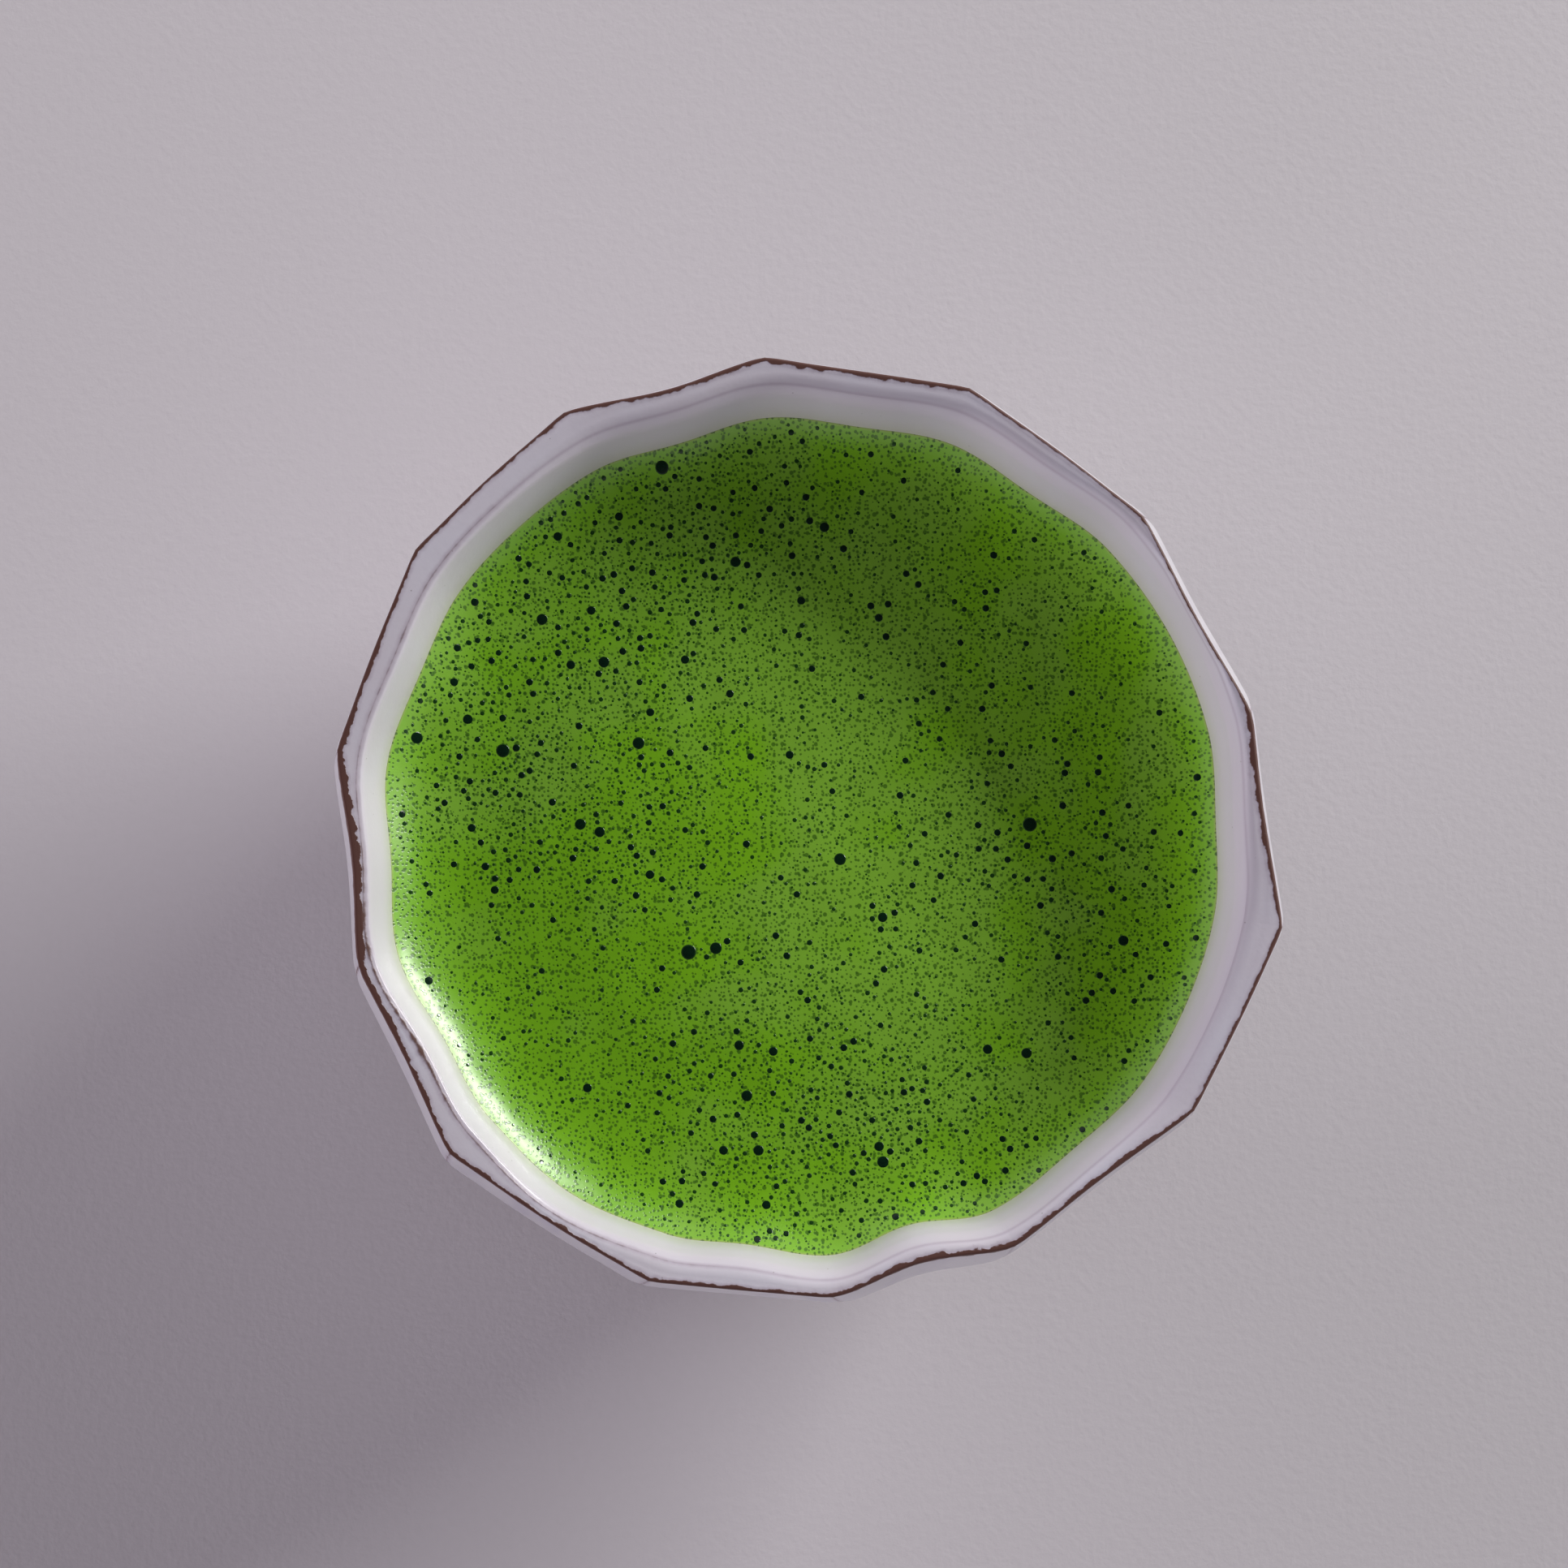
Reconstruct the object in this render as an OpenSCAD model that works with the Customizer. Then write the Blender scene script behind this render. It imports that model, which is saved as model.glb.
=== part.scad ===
// Hand-cut faceted tea bowl, glazed inside and out, filled with whisked green tea.
// Millimetres, +Z up. The origin is the centre of the foot's resting face, on the
// axis that the bowl was thrown on.

/* [Thrown form] */
// Radius of the lip as thrown, before the facets are cut
lip_r = 61.5; // [60.5:0.5:66]
// Height of the lip above the surface that the bowl stands on
bowl_h = 68; // [66:1:70]

/* [Facets] */
// Radius of each facet's upright curve
side_r = 75; // [70:1:80]
// How far the widest part of the belly lies below the lip
belly_drop = 12.5; // [11:0.5:14]

/* [Inside] */
// How far the narrowest part of the inner wall lies inside the thrown lip
throat_inset = 8.8; // [8:0.1:10]
// How far the narrowest part of the inner wall lies below the lip
throat_drop = 18; // [16:1:20]
// Radius of the curve from the inner wall down to the floor
hollow_r = 40; // [34:1:42]
// Radius of the curve that opens the inner wall out to the lip
flare_r = 45; // [40:1:60]

/* [Foot] */
// Outer radius of the foot ring
foot_r = 27; // [22:1:30]
// Width of the foot ring, outside to inside
foot_w = 7; // [5:0.5:9]
// Height of the foot ring, up to the turned underside
foot_h = 5.5; // [4.5:0.5:7]
// Depth of the recess inside the foot ring
recess_h = 4; // [3:0.5:4.5]
// Rise of the turned underside, millimetres up for each one out
turned_rise = 0.54; // [0.48:0.02:0.6]

/* [Glaze] */
// Thickness of each coat of glaze
glaze_t = 0.6; // [0.4:0.1:0.8]
// Height of the lower edge of the outside glaze
glaze_line = 17; // [15:1:22]

/* [Tea] */
// How far the foam's surface lies below the lip
tea_drop = 13; // [8:1:18]
// Depth of the foam
foam_t = 4; // [2:0.5:6]

/* [Hidden] */
$fn = 96;

// One row for each facet, as it was cut by hand: the direction it faces in degrees,
// the depth of the cut at the lip, and how far the facet leans out below the lip.
FACETS = [
    [8, 2.8, 0.5],
    [28.5, 4.1, 3.5],
    [53.5, 3.3, 1.5],
    [81.5, 2.4, 0.5],
    [105.5, 1.95, 0.5],
    [133, 1.7, -0.5],
    [159, 2.6, -2],
    [186, 3.7, 0.5],
    [206, 3.3, 1.5],
    [237.5, 2.8, 1.5],
    [265, 2.8, -1.5],
    [285.5, 3.4, 1],
    [307, 3.1, -2],
    [334, 1.2, -2.5],
];

throat_z = bowl_h - throat_drop;       // height of the narrowest part of the inner wall
throat_r = lip_r - throat_inset;       // radius of the inner wall there
tea_z = bowl_h - tea_drop;             // height of the foam's surface
blank_r = lip_r + 7;                   // radius of the turned blank, outside every facet
chord = sqrt(side_r * side_r - belly_drop * belly_drop);
foot_edge = 0.8;                       // width of the worn edges of the foot ring
nub_r = 7;                             // radius of the turning nub inside the foot ring
nub_drop = 1.2;                        // how far the nub stands below the recess
past = 2;                              // how far a cutter runs past what it cuts
cutter_w = 90;                         // length of a facet cutter, along its facet
cutter_d = side_r + 30;                // depth of a facet cutter, out from its curve's centre

// Centre of a facet's upright curve, as distance from the axis and height: the curve
// starts at the lip, and a lean turns it about the lip.
function facet_centre(cut, lean) = [
    lip_r - cut - chord * cos(lean) + belly_drop * sin(lean),
    bowl_h - belly_drop * cos(lean) - chord * sin(lean),
];

// Everything outside one facet, or outside the surface that lies inset behind it,
// down to the top of the foot ring.
module facet_cutter(facet, inset) {
    centre = facet_centre(facet[1], facet[2]);
    rotate([0, 0, facet[0]])
        rotate([90, 0, 0])
            linear_extrude(cutter_w, center = true)
                difference() {
                    translate([centre[0], foot_h])
                        square([cutter_d, bowl_h + past - foot_h]);
                    translate(centre)
                        circle(side_r - inset);
                }
}

// Takes the facets off whatever is drawn inside it, one facet at a time.
module cut_facets(inset, count = len(FACETS)) {
    if (count == 0) {
        children();
    } else {
        difference() {
            cut_facets(inset, count - 1) children();
            facet_cutter(FACETS[count - 1], inset);
        }
    }
}

// The turned blank: foot ring, sloping underside and flat lip.
module blank(inset) {
    underside_end = foot_h + (blank_r - foot_r) * turned_rise;
    recess_z = recess_h + inset - glaze_t;
    rotate_extrude()
        polygon([
            [0, recess_z - nub_drop],
            [nub_r, recess_z],
            [foot_r - foot_w - foot_edge, recess_z],
            [foot_r - foot_w - foot_edge, foot_edge],
            [foot_r - foot_w, 0],
            [foot_r - foot_edge, 0],
            [foot_r, foot_edge],
            [foot_r, foot_h],
            [blank_r, underside_end + inset],
            [blank_r, bowl_h - inset],
            [0, bowl_h - inset],
        ]);
}

// Half section of the hollow, grown outwards from the surface of the inside glaze.
module hollow_section(grown) {
    floor_r = throat_r - hollow_r;
    intersection() {
        union() {
            translate([floor_r, throat_z]) circle(hollow_r + grown);
            translate([0, throat_z - hollow_r - grown]) square([floor_r, hollow_r]);
        }
        square([throat_r + grown, throat_z]);
    }
    difference() {
        translate([0, throat_z]) square([throat_r + flare_r, bowl_h - throat_z + past]);
        translate([throat_r + flare_r, throat_z]) circle(flare_r - grown);
    }
}

// Half section of the layer of glaze on top of the lip.
module lip_section() {
    translate([throat_r, bowl_h - glaze_t]) square([blank_r - throat_r, glaze_t]);
}

// Half section of what fills the hollow between two heights.
module filling_section(low, high) {
    intersection() {
        hollow_section(0);
        translate([0, low]) square([lip_r, high - low]);
    }
}

// Unglazed clay: the wall, floor and foot ring.
module stoneware_body() {
    color([0.27, 0.18, 0.14])
        difference() {
            cut_facets(glaze_t) blank(glaze_t);
            rotate_extrude() hollow_section(glaze_t);
        }
}

// Coat of glaze on the floor, the inner wall and the top of the lip.
module inside_glaze() {
    color([0.78, 0.78, 0.83])
        cut_facets(0)
            rotate_extrude()
                difference() {
                    union() {
                        intersection() {
                            hollow_section(glaze_t);
                            square([blank_r, bowl_h]);
                        }
                        lip_section();
                    }
                    hollow_section(0);
                }
}

// Coat of glaze on the facets, from below the lip down to the glaze line.
module outside_glaze() {
    color([0.70, 0.70, 0.77])
        difference() {
            cut_facets(0) blank(0);
            cut_facets(glaze_t) blank(glaze_t);
            translate([0, 0, -past]) cylinder(h = glaze_line + past, r = blank_r + past);
            rotate_extrude() hollow_section(glaze_t);
            rotate_extrude() lip_section();
        }
}

// Liquid tea under the foam.
module tea_liquid() {
    color([0.24, 0.34, 0.07])
        rotate_extrude() filling_section(0, tea_z - foam_t);
}

// Whisked foam on the tea.
module tea_foam() {
    color([0.46, 0.63, 0.18])
        rotate_extrude() filling_section(tea_z - foam_t, tea_z);
}

stoneware_body();
inside_glaze();
outside_glaze();
tea_liquid();
tea_foam();
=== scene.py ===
import itertools
import math
import random

import bmesh
import bpy
import numpy as np
from mathutils import Matrix, Vector
from mathutils.bvhtree import BVHTree


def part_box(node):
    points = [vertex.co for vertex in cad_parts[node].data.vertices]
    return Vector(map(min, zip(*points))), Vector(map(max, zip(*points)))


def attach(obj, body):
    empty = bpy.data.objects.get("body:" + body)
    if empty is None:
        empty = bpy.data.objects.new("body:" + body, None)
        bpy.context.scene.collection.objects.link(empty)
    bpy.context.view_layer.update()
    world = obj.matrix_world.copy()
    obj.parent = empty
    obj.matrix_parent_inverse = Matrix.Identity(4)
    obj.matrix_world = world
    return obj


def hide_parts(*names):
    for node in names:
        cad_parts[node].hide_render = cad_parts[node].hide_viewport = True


# A hand-cut tea bowl filled with whisked green tea. Lengths are in metres: MM turns
# millimetres into metres, and angles are anticlockwise from +X, seen from above.

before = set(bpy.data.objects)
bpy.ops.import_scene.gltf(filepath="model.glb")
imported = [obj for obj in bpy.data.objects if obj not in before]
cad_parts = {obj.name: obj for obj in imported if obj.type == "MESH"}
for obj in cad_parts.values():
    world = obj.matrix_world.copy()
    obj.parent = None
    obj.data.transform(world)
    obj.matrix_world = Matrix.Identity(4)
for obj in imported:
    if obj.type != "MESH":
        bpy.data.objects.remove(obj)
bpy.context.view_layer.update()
MM = 0.001
TURN = 2 * math.pi

# ---------------------------------------------------------------- driving values

# One row for each facet: the direction it faces in degrees, how far its middle is
# hollowed at the lip, and how far the inner wall is pressed in behind it, in mm.
FACETS = [
    (8, 0.3, 0.4),
    (28.5, 0.3, -0.4),
    (53.5, -0.2, 0.7),
    (81.5, 0.0, 0.5),
    (105.5, 0.7, 0.8),
    (133, -0.3, -0.2),
    (159, -0.2, 0.4),
    (186, 0.6, 0.9),
    (206, 0.3, 0.9),
    (237.5, -0.4, -1.1),
    (265, 0.0, 0.7),
    (285.5, 1.3, 1.9),
    (307, 0.3, 0.4),
    (334, -0.2, -0.3),
]
# Width of the brown line on the lip's outer arris, in mm, at angles in degrees.
ARRIS_LINE = [
    (0, 0.55), (5, 0.8), (13, 0.8), (17, 0.35), (66, 0.3), (72, 0.6), (94, 0.6),
    (100, 0.5), (119, 0.5), (124, 0.4), (150, 0.4), (168, 0.7), (173, 1.0),
    (196, 1.05), (201, 0.7), (226, 0.45), (250, 0.45), (270, 0.4), (276, 0.6),
    (284, 0.7), (296, 0.75), (300, 0.55), (322, 0.5), (328, 0.4), (343, 0.4),
]
# Strength of the line on the lip's inner arris, at angles in degrees.
INNER_LINE = [
    (0, 0.0), (125, 0.05), (135, 0.22), (180, 0.25), (192, 0.45), (212, 0.5),
    (222, 0.3), (245, 0.25), (262, 0.12), (285, 0.05), (350, 0.0),
]
# Size of the rounding between the lip and the inner wall, in mm.
INNER_ROUND = [
    (0, 2.2), (60, 2.0), (115, 1.8), (130, 0.9), (140, 0.5), (225, 0.4), (240, 0.8),
    (255, 1.8), (300, 2.2),
]
GLAZE = 0.6 * MM             # thickness of each coat of glaze
ARRIS_ROUND = 0.3 * MM       # radius of the lip's outer edge
LIP_SAG = 0.35 * MM          # how far the lip dips below its highest point
RIDGE_WEAR = 0.10 * MM       # how far the ridges between facets are worn back
RIDGE_WIDTH = 0.9 * MM       # half width of that wear
HOLLOW_FADE = 40 * MM        # depth over which the facets' hollows fade out
DENT_DROP = 8 * MM           # depth below the lip at which the inner wall's dents end
DENT_FADE = 14 * MM          # depth over which they fade out below that
FOOT_WIDTH = 7 * MM          # width of the foot ring, outside to inside
FOOT_EDGE = 0.8 * MM         # radius of the foot ring's worn edges
CLAY_DROP = 1.4 * MM         # how far the clay ends below the lip, under the glaze
MENISCUS_RISE = 4.0 * MM     # how far the foam climbs the wall
MENISCUS_REACH = 4.2 * MM    # how far from the wall it starts to climb
LINE_WANDER = 1.12 * MM      # how far the glaze's lower edge strays from level
FOAM_OVERLAP = 0.12 * MM     # how far the foam reaches into the wall's glaze
RIDGE_PUSH = 0.4 * MM        # how far the inner wall stands out behind the ridges
CLAY_UNEVEN = 0.05 * MM      # height of the soft unevenness of the facets
CORNER_WIDTH = 2 * MM        # width of the rounding from the facets to the underside
THROWN_LINE = 0.05 * MM      # height of the throwing lines on the inner wall
THROWN_STEP = 1.25 * MM      # their spacing, as the length of one radian
THROWN_START = 5 * MM        # depth below the lip over which they grow
GROOVE = 0.10 * MM           # depth of the turning marks on the foot and underside
FINE_GROOVE = 0.05 * MM      # depth of the finer marks between them
GROOVE_STEP = 0.42 * MM      # spacing of the turning marks, as the length of one radian
FINE_GROOVE_STEP = 0.17 * MM    # spacing of the finer marks
SWIRL_STEP = 0.36 * MM       # spacing of the marks in the recess
NUB_WIDTH = 4 * MM           # half width of the nub in the middle of the recess
FOAM_UNEVEN = 0.05 * MM      # height of the foam's soft bumps
BESIDE = 0.1                 # a distance well outside the bowl, for measuring rays
SAMPLES = 24                 # number of heights that a curve is measured at

LIP_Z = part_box("inside_glaze")[1].z
FLOOR_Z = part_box("inside_glaze")[0].z + GLAZE
GLAZE_LINE_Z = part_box("outside_glaze")[0].z
TEA_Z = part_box("tea_foam")[1].z
FOAM_BASE_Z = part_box("tea_foam")[0].z


# ---------------------------------------------------------------- measuring the frame

def tree_of(node):
    """Search tree of a CAD node's surface."""
    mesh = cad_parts[node].data
    corners = [vertex.co for vertex in mesh.vertices]
    return BVHTree.FromPolygons(corners, [face.vertices for face in mesh.polygons])


def distance_out(tree, start, way):
    """Distance from the axis to the first point of a surface that a ray meets."""
    hit = tree.ray_cast(Vector(start), Vector(way))[0]
    return math.hypot(hit.x, hit.y)


def fit_circle(across, up):
    """Centre (across, up) and radius of the circle that a run of points lies on."""
    rows = np.column_stack([across, up, np.ones(len(up))])
    a, b, c = np.linalg.lstsq(rows, across**2 + up**2, rcond=None)[0]
    return a / 2, b / 2, math.sqrt(c + (a / 2) ** 2 + (b / 2) ** 2)


def measure_facets():
    """Centre and radius of each facet's upright curve."""
    tree = tree_of("outside_glaze")
    heights = np.linspace(GLAZE_LINE_Z + 6 * MM, LIP_Z - 1 * MM, SAMPLES)
    arcs = []
    for facing, _, _ in FACETS:
        angle = math.radians(facing)
        out = Vector((math.cos(angle), math.sin(angle), 0))
        starts = [out * BESIDE + Vector((0, 0, z)) for z in heights]
        across = [distance_out(tree, start, -out) for start in starts]
        arcs.append(fit_circle(np.array(across), heights))
    return np.array(arcs)


def measure_inside(low, high):
    """Centre and radius of the inner wall's curve between two heights."""
    tree = tree_of("inside_glaze")
    heights = np.linspace(low, high, SAMPLES)
    across = [distance_out(tree, (0, 0, z), (1, 0, 0)) for z in heights]
    return fit_circle(np.array(across), heights)


def measure_underside():
    """The turned underside's reach: how fast it grows with height, and its value at 0."""
    tree = tree_of("stoneware_body")
    heights = np.array([GLAZE_LINE_Z - 8 * MM, GLAZE_LINE_Z - 4 * MM])
    across = np.array([distance_out(tree, (BESIDE, 0, z), (-1, 0, 0)) for z in heights])
    slope = (across[1] - across[0]) / (heights[1] - heights[0])
    return slope, across[0] - slope * heights[0]


def measure_foot():
    """Radius of the foot ring, and heights of the recess and of its middle."""
    tree = tree_of("stoneware_body")
    foot_r = distance_out(tree, (BESIDE, 0, 3 * MM), (-1, 0, 0))
    recess_x = 0.6 * (foot_r - FOOT_WIDTH)
    below = [Vector((recess_x, 0, -BESIDE)), Vector((0, 0, -BESIDE))]
    recess_z, middle_z = [tree.ray_cast(start, Vector((0, 0, 1)))[0].z for start in below]
    return foot_r, recess_z, middle_z


FACET_ARCS = measure_facets()
FLARE = measure_inside(FOAM_BASE_Z, LIP_Z - 0.5 * MM)
HOLLOW = measure_inside(FLOOR_Z + 3 * MM, FLARE[1] - 1 * MM)
UNDER_SLOPE, UNDER_START = measure_underside()
FOOT_R, RECESS_Z, MIDDLE_Z = measure_foot()
FOOT_TOP = (FOOT_R - UNDER_START) / UNDER_SLOPE
THROAT_Z = FLARE[1]
FACET_COUNT = len(FACETS)
FACE_ANGLE = np.radians([row[0] for row in FACETS])
FACE_HOLLOW = np.array([row[1] for row in FACETS]) * MM
FACE_DENT = np.array([row[2] for row in FACETS]) * MM


# ---------------------------------------------------------------- shapes as formulas

def around(knots, angle):
    """Value at an angle, in radians, read off a list of (degrees, value)."""
    degrees, values = zip(*knots)
    return np.interp(np.degrees(angle) % 360, degrees, values, period=360)


def waver(angle, lowest, highest, seed):
    """Smooth random wave round the bowl, from about -1 to 1."""
    chance = np.random.default_rng(seed)
    total = np.zeros_like(np.asarray(angle, float))
    for turns in range(lowest, highest + 1):
        total += chance.uniform(0.4, 1) * np.cos(turns * angle + chance.uniform(0, TURN))
    return total / math.sqrt(highest - lowest + 1)


def lumps(x, y, size, seed):
    """Smooth random bumps on a plane, from about -1 to 1, of a given size."""
    chance = np.random.default_rng(seed)
    total = np.zeros_like(np.asarray(x, float))
    waves = 14
    for _ in range(waves):
        angle = chance.uniform(0, TURN)
        step = TURN / (size * chance.uniform(1.4, 3))
        along = x * math.cos(angle) + y * math.sin(angle)
        total += np.cos(step * along + chance.uniform(0, TURN))
    return total / math.sqrt(waves)


def smooth_step(value):
    """0 below 0, 1 above 1, and a smooth rise between."""
    value = np.clip(value, 0, 1)
    return value * value * (3 - 2 * value)


def soft_min(a, b, width):
    """The smaller of two values, with the change from one to the other rounded off."""
    return (a + b - np.sqrt((a - b) ** 2 + width**2)) / 2


def facet_reach(index, z):
    """Distance from the axis to the glazed face of a facet at a height."""
    across, up, radius = FACET_ARCS[index % FACET_COUNT].T
    return across + np.sqrt(np.maximum(radius**2 - (z - up) ** 2, 0))


def ridge_angle(index, z):
    """Angle at which a facet meets the next one, at a height."""
    a, b = FACE_ANGLE[index % FACET_COUNT], FACE_ANGLE[(index + 1) % FACET_COUNT]
    reach_a, reach_b = facet_reach(index, z), facet_reach(index + 1, z)
    x = reach_a * np.sin(b) - reach_b * np.sin(a)
    y = reach_b * np.cos(a) - reach_a * np.cos(b)
    return np.arctan2(y, x)


# The columns that the bowl's meshes share: each facet has the same number of them,
# close together at its ridges.
NEAR_RIDGE = [0, 0.0045, 0.0095, 0.016, 0.026, 0.042, 0.065]
BETWEEN = list(np.linspace(0.095, 0.905, 22))
FACET_PARTS = NEAR_RIDGE + BETWEEN + [1 - part for part in reversed(NEAR_RIDGE[1:])]
COLUMN_FACET = np.repeat(np.arange(FACET_COUNT), len(FACET_PARTS))
COLUMN_PART = np.tile(FACET_PARTS, FACET_COUNT)


def clay_wall(z):
    """Angle, distance from the axis and distance from the nearest ridge of the clay's
    outer face, for every column at a height."""
    ridge_z = np.maximum(z, GLAZE_LINE_Z)
    start = ridge_angle(COLUMN_FACET - 1, ridge_z)
    sweep = (ridge_angle(COLUMN_FACET, ridge_z) - start) % TURN
    theta = start + COLUMN_PART * sweep
    radius = (facet_reach(COLUMN_FACET, z) - GLAZE) / np.cos(theta - FACE_ANGLE[COLUMN_FACET])
    fade = np.exp((z - LIP_Z) / HOLLOW_FADE)
    radius = radius - FACE_HOLLOW[COLUMN_FACET] * np.sin(math.pi * COLUMN_PART) ** 2 * fade
    from_ridge = np.minimum(COLUMN_PART, 1 - COLUMN_PART) * sweep * radius
    radius = radius - RIDGE_WEAR * np.exp(-((from_ridge / RIDGE_WIDTH) ** 2))
    uneven = waver(theta + z * 9, 9, 23, 5) * waver(z * 70 + theta, 1, 4, 6)
    underside = UNDER_START + UNDER_SLOPE * z
    return theta, soft_min(radius + CLAY_UNEVEN * uneven, underside, CORNER_WIDTH), from_ridge


LIP_THETA = clay_wall(LIP_Z)[0]
LIP_RIDGES = ridge_angle(np.arange(FACET_COUNT), LIP_Z) % TURN


def pressed_in(theta):
    """How far the inner wall stands in from its thrown curve near the lip: by each
    facet's own dent in the middle, and a little out at the ridges."""
    edges = np.sort(LIP_RIDGES)
    facet = np.searchsorted(edges, np.asarray(theta) % TURN)
    first = int(np.argmin(LIP_RIDGES))
    index = (facet + first) % FACET_COUNT
    start = LIP_RIDGES[index - 1]
    part = ((theta - start) % TURN) / ((LIP_RIDGES[index] - start) % TURN)
    middle = np.sin(math.pi * part) ** 2
    return FACE_DENT[index] * middle - RIDGE_PUSH * (1 - middle)


def inner_wall(theta, z):
    """Distance from the axis to the inside glaze."""
    above = FLARE[0] - np.sqrt(FLARE[2] ** 2 - (z - FLARE[1]) ** 2)
    below = HOLLOW[0] + np.sqrt(np.maximum(HOLLOW[2] ** 2 - (z - HOLLOW[1]) ** 2, 0))
    radius = np.where(z >= THROAT_Z, above, below)
    fade = np.exp(-np.maximum(LIP_Z - DENT_DROP - z, 0) / DENT_FADE)
    lines = THROWN_LINE * np.sin(z / THROWN_STEP + 2 * np.sin(theta))
    below_lip = smooth_step((LIP_Z - z) / THROWN_START)
    return radius - pressed_in(theta) * fade + lines * below_lip


def height_under_foam(part):
    """Height on the inner wall: part is 0 at the foam's base and 1 at the floor."""
    return FOAM_BASE_Z + (FLOOR_Z - FOAM_BASE_Z) * math.sin(part * math.pi / 2)


def lip_height(theta):
    """Height of the lip, a little uneven as it was trimmed by hand."""
    return LIP_Z - LIP_SAG * (0.5 + 0.45 * np.clip(waver(theta, 2, 9, 11), -1, 1))


# ---------------------------------------------------------------- meshes

def ring(theta, radius, z):
    """Points round the axis, one for each column."""
    return np.column_stack([radius * np.cos(theta), radius * np.sin(theta), z + 0 * theta])


def finish_mesh(name, points, faces, marks):
    """Object from points and faces, with its normals outwards and its marks on it."""
    mesh = bpy.data.meshes.new(name)
    mesh.from_pydata(np.asarray(points).tolist(), [], faces)
    shape = bmesh.new()
    shape.from_mesh(mesh)
    bmesh.ops.recalc_face_normals(shape, faces=shape.faces)
    shape.to_mesh(mesh)
    shape.free()
    for label, values in marks.items():
        layer = mesh.attributes.new(label, "FLOAT", "POINT")
        layer.data.foreach_set("value", np.asarray(values, np.float32))
    mesh.shade_smooth()
    piece = bpy.data.objects.new(name, mesh)
    bpy.context.scene.collection.objects.link(piece)
    return piece


def loft(name, rings, marks, loop):
    """Closed mesh through rings of points. Its section is a loop, or else it starts
    and ends on the axis. marks holds a list of values for each ring."""
    columns = len(rings[0])
    points = np.concatenate(rings)
    values = {label: np.concatenate(rows) for label, rows in marks.items()}
    order = np.arange(columns)
    after = np.roll(order, -1)
    faces = []
    for k in range(len(rings) - (0 if loop else 1)):
        a, b = k * columns, (k + 1) % len(rings) * columns
        faces += np.column_stack([a + order, a + after, b + after, b + order]).tolist()
    if not loop:
        for k in (0, len(rings) - 1):
            centre = len(points)
            points = np.vstack([points, rings[k].mean(0) * (0, 0, 1)])
            for label, rows in marks.items():
                values[label] = np.append(values[label], rows[k].mean())
            a = k * columns
            faces += np.column_stack([np.full(columns, centre), a + after, a + order]).tolist()
    return finish_mesh(name, points, faces, values)


def edge_rows():
    """Steps from 0 to 1 that start and end close together."""
    growth = 1.3 ** np.arange(9)
    low = np.cumsum(0.003 * growth)
    high = 1 - np.cumsum(0.002 * growth)[::-1]
    middle = np.linspace(low[-1], high[0], 26)[1:-1]
    return np.concatenate([[0], low, middle, high, [1]])


def coat_thickness(above_line, from_ridge):
    """Thickness of the outside coat: a bead at its lower edge, thin on the ridges."""
    coat = GLAZE * (1 - np.exp(-above_line / (0.35 * MM)))
    coat = coat + 0.3 * MM * np.exp(-(((above_line - 1.3 * MM) / (0.9 * MM)) ** 2))
    coat = coat - 0.12 * MM * np.exp(-((from_ridge / (0.7 * MM)) ** 2))
    return coat - 0.08 * MM * np.exp(-above_line / (0.15 * MM))


LIP_TOP = lip_height(LIP_THETA)
LINE_Z = GLAZE_LINE_Z + LINE_WANDER * waver(LIP_THETA, 2, 12, 21)
NO_MARK = np.zeros(len(LIP_THETA))
# The inner wall gets a painted olive reflection of the tea up to 9 mm above it; this height
# keeps it off the facets.
FAR_FROM_TEA = NO_MARK + 20  # a height above the tea, in mm, out of its tint's reach


def outer_arris():
    """Angle, distance from the axis and height of the centre of the arris's rounding."""
    z = LIP_TOP - ARRIS_ROUND
    theta, radius, _ = clay_wall(z)
    return theta, radius + GLAZE - ARRIS_ROUND, z


def arris_point(turn):
    """Ring on the rounded arris: turn is 0 on the facets and 90 degrees on the lip."""
    theta, radius, z = outer_arris()
    turn = math.radians(turn)
    return ring(theta, radius + ARRIS_ROUND * math.cos(turn), z + ARRIS_ROUND * math.sin(turn))


def make_outside_coat():
    """The glaze on the facets, from its wavy lower edge up to the lip's arris."""
    top = LIP_TOP - ARRIS_ROUND
    rings, arris, ridge = [], [], []
    for part in edge_rows():
        z = LINE_Z + part * (top - LINE_Z)
        theta, radius, from_ridge = clay_wall(z)
        above = z - LINE_Z
        spread = 1 + 0.7 * (1 - part) ** 2
        rings.append(ring(theta, radius + spread * coat_thickness(above, from_ridge), z))
        arris.append((LIP_Z - z) / MM)
        ridge.append(from_ridge / MM)
    for turn in (15, 30, 45):
        rings.append(arris_point(turn))
        arris.append(NO_MARK)
        ridge.append(ridge[-1])
    for part in np.linspace(0.985, 0.0, 14):
        z = LINE_Z + part * (top - LINE_Z)
        theta, radius, from_ridge = clay_wall(z)
        rings.append(ring(theta, radius - 0.1 * MM, z))
        arris.append((LIP_Z - z) / MM)
        ridge.append(from_ridge / MM)
    rows = len(rings)
    marks = {
        "arris_mm": arris,
        "break_mm": ridge,
        "arris_w": [around(ARRIS_LINE, LIP_THETA)] * rows,
        "break_w": [0.28 + 0.1 * waver(LIP_THETA * 3, 3, 9, 31)] * rows,
        "tea_mm": [FAR_FROM_TEA] * rows,
        "land": [NO_MARK] * rows,
    }
    return loft("glaze_outside", rings, marks, loop=True)


def bezier(a, b, c, part):
    """Point on a quadratic curve from a towards b to c."""
    return (1 - part) ** 2 * a + 2 * part * (1 - part) * b + part**2 * c


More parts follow.
